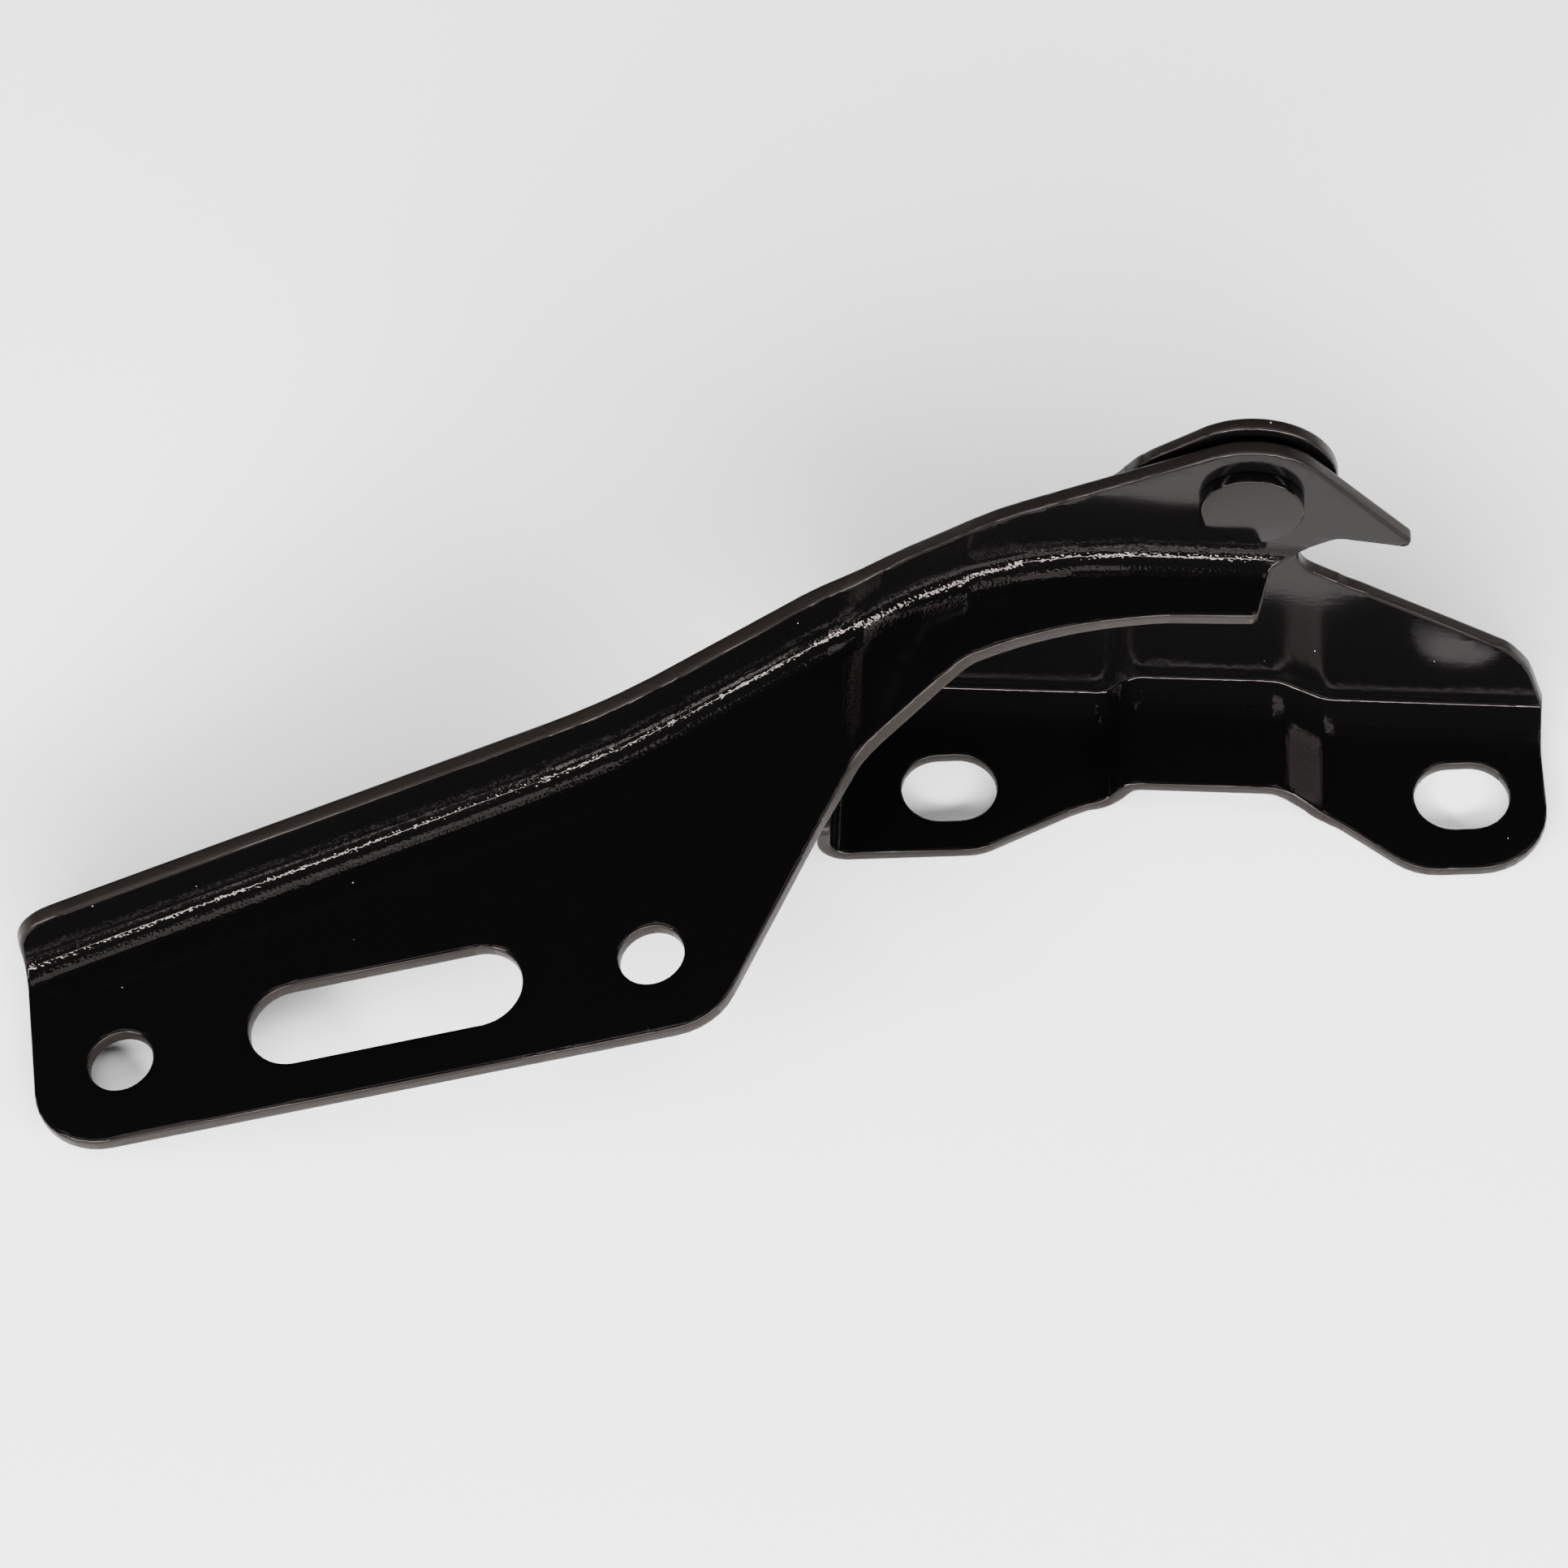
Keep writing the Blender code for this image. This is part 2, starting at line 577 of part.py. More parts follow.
def bracket_mesh():
    pressing = bracket_pressing()
    fold_top = BRACKET_SEAT + pressing.fold_height

    # Web: up the front flank, over the ear, down the neck and out along the rear flank
    web_front = LIP_X + WEB_FRONT_LENGTH
    flank_top = (FRONT_FLANK_TOP_X, FRONT_FLANK_TOP_LIFT)
    ear_neck = (EAR_NECK_X, -EAR_NECK_DROP)
    begin = touch_angle(flank_top, BRACKET_EAR_RADIUS, -1)
    end = touch_angle(ear_neck, BRACKET_EAR_RADIUS, 1)
    web = soften([
        (web_front, fold_top, 0.0),
        (web_front - WEB_FRONT_LEAN, BRACKET_SEAT + WEB_FRONT_HEIGHT, WEB_FRONT_RADIUS),
        (LIP_X + FRONT_FLANK_LENGTH, BRACKET_SEAT + FRONT_FLANK_HEIGHT, FLANK_RADIUS),
        (*flank_top, FLANK_RADIUS),
        (*on_circle(BRACKET_EAR_RADIUS, begin), 0.0),
    ])
    web += ear(BRACKET_EAR_RADIUS, begin, end)
    web += soften([
        (*on_circle(BRACKET_EAR_RADIUS, end), 0.0),
        (*ear_neck, EAR_NECK_RADIUS),
        (BRACKET_REAR - REAR_FLANK_LENGTH, BRACKET_SEAT + REAR_FLANK_HEIGHT, REAR_FLANK_RADIUS),
        (BRACKET_REAR - WEB_REAR_LENGTH, BRACKET_SEAT + WEB_REAR_HEIGHT, WEB_REAR_RADIUS),
        (BRACKET_REAR - WEB_END_LENGTH, fold_top, 0.0),
    ])[1:]
    outline = [pressing.on_web(x, z) for x, z in web]

    # Flange: rear edge, rear foot, arched middle and front foot
    front_slot_x = LIP_X + FRONT_SLOT_LIP
    rear_slot_x = BRACKET_REAR - REAR_SLOT_END

    def front_edge(x):
        return -FRONT_FOOT_REACH + FOOT_YAW * (x - front_slot_x)

    def rear_edge(x):
        return -REAR_FOOT_REACH + FOOT_YAW * (x - rear_slot_x)

    front_knee = front_slot_x + FRONT_KNEE_LENGTH
    rear_knee = rear_slot_x - REAR_KNEE_LENGTH
    edge = soften([
        (BRACKET_REAR - WEB_END_LENGTH, BRACKET_FACE - pressing.fold_width, 0.0),
        (BRACKET_REAR, rear_edge(BRACKET_REAR), REAR_CORNER_RADIUS),
        (rear_knee, rear_edge(rear_knee), REAR_KNEE_RADIUS),
        (ARCH_REAR_X, -ARCH_REACH, ARCH_RADIUS),
        (ARCH_FRONT_X, -ARCH_REACH, ARCH_RADIUS),
        (front_knee, front_edge(front_knee), FRONT_KNEE_RADIUS),
        (front_slot_x, front_edge(front_slot_x), 0.0),
    ])
    outline += [pressing.on_flange(x, y) for x, y in edge]

    # Lip: its front edge, its top edge and the relief beside the web
    run, across = outline[-1]
    outline += soften([
        (run, across, 0.0),
        (0.0, across - FOOT_YAW * run, LIP_CORNER_RADIUS),
        (0.0, -LIP_RELIEF, LIP_CORNER_RADIUS),
        (pressing.profile.distance_at(web_front), -LIP_RELIEF, LIP_RELIEF_RADIUS),
        (*outline[0], 0.0),
    ])[1:-1]

    holes = [[pressing.on_web(x, z) for x, z in circle((0.0, 0.0), NECK_HOLE_RADIUS)]]
    front_slot = (front_slot_x, FRONT_SLOT_EDGE - FRONT_FOOT_REACH)
    rear_slot = (rear_slot_x, REAR_SLOT_EDGE - REAR_FOOT_REACH)
    for centre in (front_slot, rear_slot):
        points = slot(centre, FOOT_SLOT_LENGTH, FOOT_SLOT_WIDTH, math.radians(FOOT_SLOT_TURN))
        holes.append([pressing.on_flange(x, y) for x, y in points])
    return press("body_bracket", pressing, [outline] + holes)


def turned(name, profile, is_ring):
    """A turned part. Its profile is radius and height, top to bottom down its outer side."""
    count = len(profile)
    edges = [(step, step + 1) for step in range(count - 1)]
    if is_ring:
        edges.append((count - 1, 0))
    mesh = bpy.data.meshes.new(name)
    mesh.from_pydata([(radius, 0.0, height) for radius, height in profile], edges, [])
    part = bpy.data.objects.new(name, mesh)
    part.rotation_euler = (math.pi / 2, 0.0, 0.0)
    screw = part.modifiers.new("turn", "SCREW")
    screw.axis = "Z"
    screw.angle = 2 * math.pi
    screw.steps = TURN_STEPS
    screw.render_steps = TURN_STEPS
    screw.use_merge_vertices = True
    screw.merge_threshold = 0.00001
    return part


def rivet():
    """Pivot rivet: flat head, bearing shoulder, neck through the bracket and a spun tail."""
    shoulder_end = -BRACKET_FACE
    washer_end = -(BRACKET_BACK + TAIL_WASHER)
    tail_end = washer_end - TAIL_HEIGHT
    tail = []
    for step in range(7):
        angle = math.radians(15.0 * step)
        tail.append((TAIL_RADIUS - TAIL_ROUND_RADIUS * (1.0 - math.cos(angle)),
                     tail_end + TAIL_ROUND_RADIUS * (1.0 - math.sin(angle))))
    return turned("pivot_rivet", [
        (0.0, FACE_GAP + HEAD_HEIGHT),
        (HEAD_RADIUS - HEAD_BEVEL, FACE_GAP + HEAD_HEIGHT),
        (HEAD_RADIUS, FACE_GAP + HEAD_HEIGHT - HEAD_BEVEL),
        (HEAD_RADIUS, FACE_GAP + HEAD_BEVEL / 2),
        (HEAD_RADIUS - HEAD_BEVEL / 2, FACE_GAP),
        (SHOULDER_RADIUS, FACE_GAP),
        (SHOULDER_RADIUS, shoulder_end),
        (NECK_RADIUS, shoulder_end),
        (NECK_RADIUS, washer_end),
        (TAIL_RADIUS, washer_end),
        *tail,
        (0.0, tail_end),
    ], False)


def ring(name, bore, radius, top, bottom, bevel):
    """A flat washer with a small bevel on its outer corners."""
    return turned(name, [
        (bore, top),
        (radius - bevel, top),
        (radius, top - bevel),
        (radius, bottom + bevel),
        (radius - bevel, bottom),
        (bore, bottom),
    ], True)


def bush():
    """Flanged bearing bush: a sleeve in the arm's eye and a flange behind the arm."""
    flange_front = -ARM_SHEET
    flange_back = -(ARM_SHEET + BUSH_FLANGE)
    return turned("pivot_bush", [
        (BUSH_BORE, -FACE_GAP),
        (BUSH_RADIUS - BUSH_BEVEL, -FACE_GAP),
        (BUSH_RADIUS, -FACE_GAP - BUSH_BEVEL),
        (BUSH_RADIUS, flange_front),
        (BUSH_FLANGE_RADIUS, flange_front),
        (BUSH_FLANGE_RADIUS, flange_back + BUSH_BEVEL),
        (BUSH_FLANGE_RADIUS - BUSH_BEVEL, flange_back),
        (BUSH_BORE + BUSH_BEVEL, flange_back),
        (BUSH_BORE, flange_back + BUSH_BEVEL),
    ], True)


def pivot_place(arm, bracket):
    """Where the pivot lies when the origin is under the middle of the whole hinge."""
    front = min(vertex.co.y for vertex in arm.vertices)
    left = min(vertex.co.x for vertex in arm.vertices)
    right = max(vertex.co.x for vertex in bracket.vertices)
    return Vector((-(left + right) / 2, -(front + BACK) / 2, PIVOT_HEIGHT))


def finish(part, place, name, colour, roughness, metallic):
    """Give a part its material and put it in the hinge's collection, at the pivot."""
    material = bpy.data.materials.new(name)
    material.use_nodes = True
    shader = material.node_tree.nodes["Principled BSDF"]
    shader.inputs["Base Color"].default_value = (*colour, 1.0)
    shader.inputs["Roughness"].default_value = roughness
    shader.inputs["Metallic"].default_value = metallic
    part.data.materials.append(material)
    part.location = place
    bpy.data.collections["bonnet_hinge"].objects.link(part)


def build():
    for item in list(bpy.data.objects):
        bpy.data.objects.remove(item, do_unlink=True)
    collection = bpy.data.collections.new("bonnet_hinge")
    bpy.context.scene.collection.children.link(collection)

    black = (0.012, 0.012, 0.013)
    zinc = (0.42, 0.42, 0.40)
    bronze = (0.30, 0.22, 0.13)
    arm = arm_mesh()
    bracket = bracket_mesh()
    place = pivot_place(arm, bracket)
    bush_back = -(ARM_SHEET + BUSH_FLANGE + FACE_GAP)
    thrust_washer = ring("thrust_washer", BUSH_BORE, THRUST_WASHER_RADIUS, bush_back,
                         bush_back - THRUST_WASHER, THRUST_WASHER_BEVEL)
    tail_washer = ring("tail_washer", NECK_HOLE_RADIUS, TAIL_WASHER_RADIUS, -BRACKET_BACK,
                       -(BRACKET_BACK + TAIL_WASHER), TAIL_WASHER_BEVEL)
    finish(bpy.data.objects.new("bonnet_arm", arm), place, "arm_paint", black, 0.28, 0.0)
    finish(bpy.data.objects.new("body_bracket", bracket), place, "bracket_paint", black, 0.28, 0.0)
    finish(rivet(), place, "rivet_paint", black, 0.30, 0.0)
    finish(bush(), place, "bush_lining", bronze, 0.45, 0.6)
    finish(thrust_washer, place, "washer_steel", zinc, 0.35, 1.0)
    finish(tail_washer, place, "tail_washer_paint", black, 0.32, 0.0)


build()
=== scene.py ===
"""Looks of the bonnet hinge: gloss black coat on folded sheet steel, on a pale studio floor."""

import json
import math

import bmesh
import bpy
from mathutils import Matrix, Vector, noise
from mathutils.bvhtree import BVHTree
from mathutils.kdtree import KDTree


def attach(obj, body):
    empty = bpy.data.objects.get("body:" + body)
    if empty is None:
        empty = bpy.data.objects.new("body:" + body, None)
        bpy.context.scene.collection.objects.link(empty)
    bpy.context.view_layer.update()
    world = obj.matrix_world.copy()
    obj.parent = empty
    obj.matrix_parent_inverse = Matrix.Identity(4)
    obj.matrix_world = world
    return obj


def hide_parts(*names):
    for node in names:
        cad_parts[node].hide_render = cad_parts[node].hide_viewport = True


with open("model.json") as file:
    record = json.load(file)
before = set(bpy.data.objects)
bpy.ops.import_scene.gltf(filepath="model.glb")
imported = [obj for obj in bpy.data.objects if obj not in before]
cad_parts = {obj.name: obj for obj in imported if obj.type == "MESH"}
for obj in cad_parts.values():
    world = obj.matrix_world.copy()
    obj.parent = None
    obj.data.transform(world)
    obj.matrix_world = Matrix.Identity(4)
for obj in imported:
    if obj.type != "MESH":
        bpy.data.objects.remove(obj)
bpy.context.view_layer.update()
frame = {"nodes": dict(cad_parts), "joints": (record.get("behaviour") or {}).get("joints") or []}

# Sheet of the pressings, metres
ARM_SHEET = 0.0029
BRACKET_SHEET = 0.0025
SHEET_SLACK = 0.0004          # a wall this much off the sheet's thickness is still a sheet face
MERGE_REACH = 0.000002        # vertices this near to each other are one
SURFACE_STEP = 0.000001       # a ray into the sheet starts this far below its face
GRID = 0.003                  # spacing of the extra vertices that carry the sheet's waviness
FOLD_TURN = math.radians(8.0)  # neighbouring faces that differ by more belong to a fold
FOLD_CORE = 0.0008            # the stretched grain is at its deepest this near to a fold's lines
FOLD_REACH = 0.0020           # and is gone this far from them
RIM = 0.0016                  # nearer to a cut edge than this, a turn belongs to its rolled corner
WAVE_SIZE = 0.022             # length of the waves that pressing leaves in the flats
WAVE_DEPTH = 0.000018
SHARP_TURN = math.radians(50.0)  # corners of turned parts that turn by more stay sharp

# Finishes
COAT_BLACK = (0.0012, 0.0011, 0.0011)
EDGE_BLACK = (0.0050, 0.0040, 0.0034)
DUST = (0.35, 0.34, 0.32)
BRONZE = (0.42, 0.30, 0.17)
ZINC = (0.62, 0.62, 0.60)
COAT_IOR = 1.22               # the coat reflects less than a clear varnish would
COAT_GLINT = (0.88, 0.76, 0.73, 1.0)
FOLD_POLISH = 0.06            # the stretched coat is this much glossier
METAL_PATCHES = 400.0         # patches to the metre, as a noise scale
METAL_SHADE = 0.7             # the dark patches of bare metal, against its own colour
METAL_SPREAD = 0.2            # and how much rougher they come out
PAPER_WHITE = (0.90, 0.90, 0.90, 1.0)
PAPER_ROUGHNESS = 0.9
ROOM_GREY = (0.02, 0.02, 0.02, 1.0)

# Camera, from the photo: back along the view, then right and up in the picture
VIEW_TURN = math.radians(2.2)
VIEW_RISE = math.radians(56.5)
VIEW_DISTANCE = 1.200
AIM_LEFT = 0.07737            # from the pivot to the middle of the picture
AIM_DOWN = 0.04667
PIVOT = Vector(frame["joints"][0]["pos_m"])
SENSOR = 36.0
LENS = 166.58

# Studio
FLOOR_SIZE = 6.0
LIGHT_AIM = (0.0, 0.0, 0.03)
LIGHTS = (                    # turn to the right and rise in degrees, distance, width, height, radiance
    ("left_strip", -48.0, 26.0, 1.8, 1.45, 0.20, 95.0),
    ("front_strip", -4.0, 23.0, 1.8, 1.45, 0.20, 125.0),
    ("right_strip", 40.0, 21.0, 1.8, 1.45, 0.24, 100.0),
    ("right_box", 124.0, 15.0, 1.9, 0.7, 0.5, 3.0),
    ("top_box", -40.0, 75.0, 1.8, 0.6, 0.5, 6.0),
    ("left_fill", -95.0, 60.0, 1.8, 0.9, 0.9, 5.0),
    ("right_fill", 95.0, 60.0, 1.8, 0.9, 0.9, 5.0),
)


def piece_from(form, name, body, node):
    """Turn a bmesh into a piece that rides on a body in place of its CAD node."""
    mesh = bpy.data.meshes.new(name)
    form.to_mesh(mesh)
    form.free()
    mesh.shade_smooth()
    piece = bpy.data.objects.new(name, mesh)
    bpy.context.scene.collection.objects.link(piece)
    even = piece.modifiers.new("even_normals", "WEIGHTED_NORMAL")
    even.mode = "FACE_AREA"
    even.keep_sharp = True
    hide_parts(node)
    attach(piece, body)
    return piece


def merged(node):
    """A copy of a CAD node's mesh with its loose triangles joined."""
    form = bmesh.new()
    form.from_mesh(frame["nodes"][node].data)
    bmesh.ops.remove_doubles(form, verts=form.verts[:], dist=MERGE_REACH)
    return form


def cross_cut(form):
    """Cut a form along a grid of planes, so that its flats have vertices to shade and shape."""
    for axis in range(3):
        places = [vertex.co[axis] for vertex in form.verts]
        low, high = min(places), max(places)
        direction = Vector((0.0, 0.0, 0.0))
        direction[axis] = 1.0
        for step in range(1, math.floor((high - low) / GRID)):
            everything = form.verts[:] + form.edges[:] + form.faces[:]
            point = direction * (low + step * GRID)
            bmesh.ops.bisect_plane(form, geom=everything, dist=1e-6, plane_co=point, plane_no=direction)


def is_sheet_face(tree, face, sheet):
    """True where the wall behind a face is as thick as the sheet."""
    centre = face.calc_center_median()
    hit = tree.ray_cast(centre - face.normal * SURFACE_STEP, -face.normal)
    return hit[0] is not None and abs(hit[3] - sheet) < SHEET_SLACK


def tree_of(vertices):
    """A search tree of some of a form's vertices."""
    places = [vertex.co for vertex in vertices]
    tree = KDTree(len(places))
    for index, place in enumerate(places):
        tree.insert(place, index)
    tree.balance()
    return tree


def mark_folds(form):
    """Give each vertex a fold value, from 1 in a fold to 0 on the flats beside it."""
    rim = tree_of(v for v in form.verts if any(face.material_index for face in v.link_faces))
    bent = []
    for vertex in form.verts:
        normals = [face.normal for face in vertex.link_faces]
        turn = max(normal.angle(normals[0]) for normal in normals)
        if turn > FOLD_TURN and rim.find(vertex.co)[2] > RIM:
            bent.append(vertex)
    nearest = tree_of(bent)
    fold = form.verts.layers.float.new("fold")
    for vertex in form.verts:
        away = nearest.find(vertex.co)[2]
        vertex[fold] = min(max((FOLD_REACH - away) / (FOLD_REACH - FOLD_CORE), 0.0), 1.0)


def wave(form):
    """Press slight waves into a form's faces, always inwards."""
    moves = []
    for vertex in form.verts:
        height = noise.noise(vertex.co / WAVE_SIZE) - 1.0
        moves.append((vertex, vertex.normal * (height * WAVE_DEPTH)))
    for vertex, move in moves:
        vertex.co += move


def pressing(node, name, body, sheet, sheet_coat, edge_coat):
    """A pressing: its faces and its cut edges get their own coats, and its flats a slight wave."""
    form = merged(node)
    cross_cut(form)
    form.normal_update()
    tree = BVHTree.FromBMesh(form)
    for face in form.faces:
        face.material_index = 0 if is_sheet_face(tree, face, sheet) else 1
    mark_folds(form)
    wave(form)
    piece = piece_from(form, name, body, node)
    piece.data.materials.append(sheet_coat)
    piece.data.materials.append(edge_coat)


def turned_piece(node, name, body, finish):
    """A turned part, with its corners sharp, and its round faces and chamfers smooth."""
    piece = piece_from(merged(node), name, body, node)
    piece.data.set_sharp_from_angle(angle=SHARP_TURN)
    piece.data.materials.append(finish)


class Nodes:
    """Short calls for building a node tree."""

    def __init__(self, tree):
        self.tree = tree

    def add(self, kind, **values):
        node = self.tree.nodes.new(kind)
        for key, value in values.items():
            setattr(node, key, value)
        return node

    def add_group(self, group, **inputs):
        """A group node; each input's name has an underscore for each space."""
        node = self.add("ShaderNodeGroup", node_tree=group)
        for title, value in inputs.items():
            node.inputs[title.replace("_", " ")].default_value = value
        return node

    def join(self, source, output, target, entry):
        self.tree.links.new(source.outputs[output], target.inputs[entry])

    def blend(self, mask, first, second):
        """A Mix node between two colours by a (node, output) mask."""
        node = self.add("ShaderNodeMix", data_type="RGBA")
        self.join(mask[0], mask[1], node, 0)
        node.inputs[6].default_value = (*first, 1.0)
        node.inputs[7].default_value = (*second, 1.0)
        return node

    def maths(self, operation, first, second):
        """A Math node; each operand is a number or a (node, output) pair."""
        node = self.add("ShaderNodeMath", operation=operation)
        for index, operand in enumerate((first, second)):
            if isinstance(operand, tuple):
                self.join(operand[0], operand[1], node, index)
            else:
                node.inputs[index].default_value = operand
        return node

    def bump(self, height, output, shader):
        """Drive a shader's normal with a height in metres."""
        node = self.add("ShaderNodeBump")
        node.inputs["Distance"].default_value = 1.0
        self.join(height, output, node, "Height")
        self.join(node, "Normal", shader, "Normal")


def new_group(name, inputs, output):
    """A shader group of number inputs and one number output, with its entry, exit and place."""
    group = bpy.data.node_groups.new(name, "ShaderNodeTree")
    for title, value in inputs.items():
        socket = group.interface.new_socket(title, in_out="INPUT", socket_type="NodeSocketFloat")
        socket.default_value = value
    group.interface.new_socket(output, in_out="OUTPUT", socket_type="NodeSocketFloat")
    n = Nodes(group)
    return n, n.add("NodeGroupInput"), n.add("NodeGroupOutput"), n.add("ShaderNodeTexCoord")


def orange_peel_group():
    """Height of a sprayed or dipped coat: fine lumps, deeper where the sheet was stretched."""
    inputs = {"Lump Size": 0.001, "Depth": 0.00001, "Stretch": 0.0}
    n, entry, leave, place = new_group("orange_peel", inputs, "Height")
    scale = n.maths("DIVIDE", 1.0, (entry, "Lump Size"))
    lumps = n.add("ShaderNodeTexNoise")
    lumps.inputs["Detail"].default_value = 0.6
    lumps.inputs["Roughness"].default_value = 0.5
    n.join(place, "Object", lumps, "Vector")
    n.join(scale, "Value", lumps, "Scale")
    gain = n.maths("ADD", (entry, "Stretch"), 1.0)
    deeper = n.maths("MULTIPLY", (entry, "Depth"), (gain, "Value"))
    height = n.maths("MULTIPLY", (lumps, "Fac"), (deeper, "Value"))
    n.join(height, "Value", leave, "Height")
    return n.tree


def draw_marks_group():
    """Height of the faint wrinkles that drawing leaves in the sheet, long in X."""
    inputs = {"Length": 0.0035, "Width": 0.0009, "Depth": 0.000002}
    n, entry, leave, place = new_group("draw_marks", inputs, "Height")
    along = n.maths("DIVIDE", 1.0, (entry, "Length"))
    across = n.maths("DIVIDE", 1.0, (entry, "Width"))
    sizes = n.add("ShaderNodeCombineXYZ")
    n.join(along, "Value", sizes, "X")
    n.join(across, "Value", sizes, "Y")
    n.join(across, "Value", sizes, "Z")
    spread = n.add("ShaderNodeVectorMath", operation="MULTIPLY")
    n.join(place, "Object", spread, 0)
    n.join(sizes, "Vector", spread, 1)
    marks = n.add("ShaderNodeTexNoise")
    marks.inputs["Scale"].default_value = 1.0
    marks.inputs["Detail"].default_value = 3.0
    n.join(spread, "Vector", marks, "Vector")
    height = n.maths("MULTIPLY", (marks, "Fac"), (entry, "Depth"))
    n.join(height, "Value", leave, "Height")
    return n.tree


def speck_group():
    """Mask of tiny specks of dust, a few to the square centimetre."""
    inputs = {"Spacing": 0.006, "Speck Size": 0.02}
    n, entry, leave, place = new_group("dust_specks", inputs, "Mask")
    scale = n.maths("DIVIDE", 1.0, (entry, "Spacing"))
    cells = n.add("ShaderNodeTexVoronoi")
    n.join(place, "Object", cells, "Vector")
    n.join(scale, "Value", cells, "Scale")
    mask = n.maths("LESS_THAN", (cells, "Distance"), (entry, "Speck Size"))
    n.join(mask, "Value", leave, "Mask")
    return n.tree


def patch_group():
    """Mask of soft patches, for a gloss or tone that varies a little over a surface."""
    inputs = {"Scale": 90.0, "Detail": 3.0}
    n, entry, leave, place = new_group("soft_patches", inputs, "Mask")
    patches = n.add("ShaderNodeTexNoise")
    n.join(place, "Object", patches, "Vector")
    n.join(entry, "Scale", patches, "Scale")
    n.join(entry, "Detail", patches, "Detail")
    n.join(patches, "Fac", leave, "Mask")
    return n.tree


def coat(name, groups, colour, roughness, spread, lump, depth, stretch, marks, specks_apart):
    """A gloss black coat with orange peel, draw marks, uneven gloss and a few light specks."""
    material = bpy.data.materials.new(name)
    material.use_nodes = True
    n = Nodes(material.node_tree)
    shader = material.node_tree.nodes["Principled BSDF"]
    shader.inputs["IOR"].default_value = COAT_IOR
    shader.inputs["Specular Tint"].default_value = COAT_GLINT

    specks = n.add_group(groups["specks"], Spacing=specks_apart)
    tint = n.blend((specks, "Mask"), colour, DUST)
    n.join(tint, 2, shader, "Base Color")

    patches = n.add_group(groups["patches"])
    uneven = n.maths("MULTIPLY", (patches, "Mask"), spread)
    rough = n.maths("ADD", (uneven, "Value"), roughness - spread / 2)
    fold = n.add("ShaderNodeAttribute", attribute_name="fold")
    polish = n.maths("MULTIPLY", (fold, "Fac"), -FOLD_POLISH)
    glossy = n.maths("ADD", (rough, "Value"), (polish, "Value"))
    dusty = n.maths("ADD", (glossy, "Value"), (specks, "Mask"))
    n.join(dusty, "Value", shader, "Roughness")

    stretched = n.maths("MULTIPLY", (fold, "Fac"), stretch)
    peel = n.add_group(groups["peel"], Lump_Size=lump, Depth=depth)
    n.join(stretched, "Value", peel, "Stretch")
    wrinkles = n.add_group(groups["marks"], Depth=marks)
    height = n.maths("ADD", (peel, "Height"), (wrinkles, "Height"))
    n.bump(height, "Value", shader)
    return material


def metal(name, groups, colour, roughness, lump, depth):
    """Bare or plated metal of the small turned parts."""
    material = bpy.data.materials.new(name)
    material.use_nodes = True
    n = Nodes(material.node_tree)
    shader = material.node_tree.nodes["Principled BSDF"]
    shader.inputs["Metallic"].default_value = 1.0

    patches = n.add_group(groups["patches"], Scale=METAL_PATCHES, Detail=2.0)
    tint = n.blend((patches, "Mask"), [METAL_SHADE * part for part in colour], colour)
    n.join(tint, 2, shader, "Base Color")
    uneven = n.maths("MULTIPLY", (patches, "Mask"), METAL_SPREAD)
    rough = n.maths("ADD", (uneven, "Value"), roughness)
    n.join(rough, "Value", shader, "Roughness")

    peel = n.add_group(groups["peel"], Lump_Size=lump, Depth=depth)
    n.bump(peel, "Height", shader)
    return material


def dress():
    """Finishes and pieces of the hinge."""
    groups = {"peel": orange_peel_group(), "marks": draw_marks_group(),
              "specks": speck_group(), "patches": patch_group()}
    arm_coat = coat(
        "arm_coat", groups, COAT_BLACK, roughness=0.13, spread=0.06, lump=0.00055,
        depth=0.000004, stretch=13.0, marks=0.000004, specks_apart=0.006)
    bracket_coat = coat(
        "bracket_coat", groups, COAT_BLACK, roughness=0.14, spread=0.06, lump=0.0010,
        depth=0.00001, stretch=2.0, marks=0.000012, specks_apart=0.006)
    edge_coat = coat(
        "edge_coat", groups, EDGE_BLACK, roughness=0.38, spread=0.10, lump=0.0005,
        depth=0.00001, stretch=0.0, marks=0.000008, specks_apart=0.009)
    rivet_coat = coat(
        "rivet_coat", groups, COAT_BLACK, roughness=0.09, spread=0.04, lump=0.0009,
        depth=0.000002, stretch=0.0, marks=0.0000005, specks_apart=0.008)
    bronze = metal("sintered_bronze", groups, BRONZE, roughness=0.40, lump=0.0003, depth=0.000004)
    zinc = metal("zinc_plate", groups, ZINC, roughness=0.28, lump=0.0006, depth=0.000002)

    pressing("bonnet_arm", "arm_pressing", "arm", ARM_SHEET, arm_coat, edge_coat)
    pressing("body_bracket", "bracket_pressing", "bracket",
             BRACKET_SHEET, bracket_coat, edge_coat)
    turned_piece("pivot_rivet", "rivet", "bracket", rivet_coat)
    turned_piece("tail_washer", "washer_under_tail", "bracket", rivet_coat)
    turned_piece("pivot_bush", "bush", "arm", bronze)
    turned_piece("thrust_washer", "washer_behind_bush", "bracket", zinc)


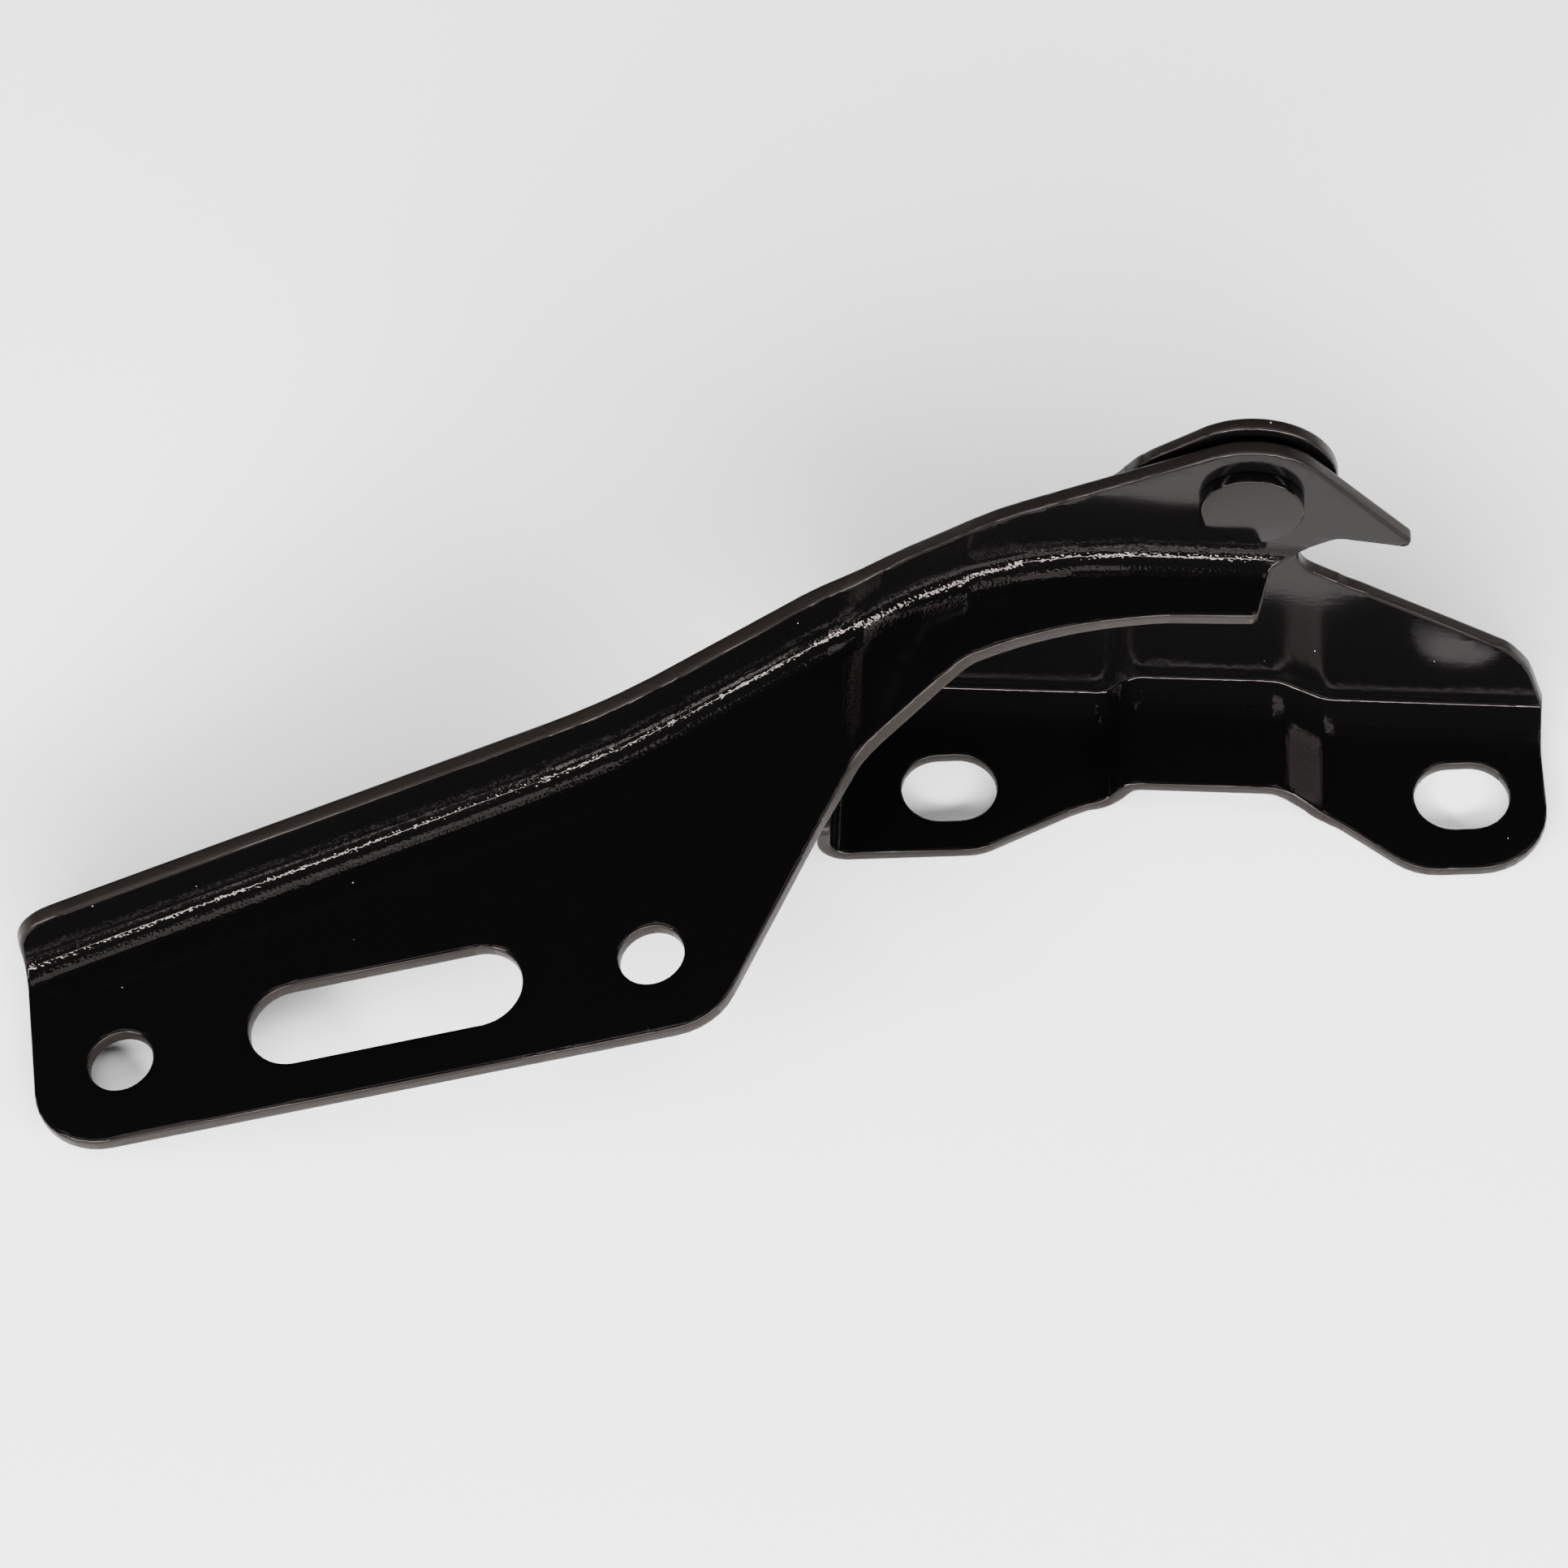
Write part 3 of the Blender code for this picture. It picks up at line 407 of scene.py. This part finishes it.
def around(name, turn, rise, distance, width, height, radiance):
    """A rectangular light that faces the hinge from a turn to the right of its front and a rise."""
    turn = math.radians(turn)
    rise = math.radians(rise)
    away = Vector((math.sin(turn) * math.cos(rise), -math.cos(turn) * math.cos(rise), math.sin(rise)))
    light = bpy.data.lights.new(name, "AREA")
    light.shape = "RECTANGLE"
    light.size = width
    light.size_y = height
    light.energy = radiance * math.pi * width * height
    lamp = bpy.data.objects.new(name, light)
    lamp.location = Vector(LIGHT_AIM) + away * distance
    lamp.rotation_euler = (-away).to_track_quat("-Z", "Y").to_euler()
    bpy.context.scene.collection.objects.link(lamp)


def studio():
    """Pale floor, soft lights and a dim room."""
    bpy.ops.mesh.primitive_plane_add(size=FLOOR_SIZE, location=(0.0, 0.0, 0.0))
    floor = bpy.context.object
    floor.name = "studio_floor"
    paper = bpy.data.materials.new("white_paper")
    paper.use_nodes = True
    shader = paper.node_tree.nodes["Principled BSDF"]
    shader.inputs["Base Color"].default_value = PAPER_WHITE
    shader.inputs["Roughness"].default_value = PAPER_ROUGHNESS
    floor.data.materials.append(paper)

    world = bpy.data.worlds.new("dim_room")
    world.use_nodes = True
    world.node_tree.nodes["Background"].inputs["Color"].default_value = ROOM_GREY
    bpy.context.scene.world = world
    for light in LIGHTS:
        around(*light)


def camera():
    """The photo's view."""
    back = Vector((math.sin(VIEW_TURN) * math.cos(VIEW_RISE),
                   -math.cos(VIEW_TURN) * math.cos(VIEW_RISE),
                   math.sin(VIEW_RISE)))
    right = Vector((math.cos(VIEW_TURN), math.sin(VIEW_TURN), 0.0))
    up = back.cross(right)
    aim = PIVOT - right * AIM_LEFT - up * AIM_DOWN
    data = bpy.data.cameras.new("photo_view")
    data.sensor_width = SENSOR
    data.lens = LENS
    eye = bpy.data.objects.new("photo_view", data)
    turn = Matrix((right, up, back)).transposed()
    eye.matrix_world = Matrix.Translation(aim + back * VIEW_DISTANCE) @ turn.to_4x4()
    bpy.context.scene.collection.objects.link(eye)
    bpy.context.scene.camera = eye


dress()
studio()
camera()
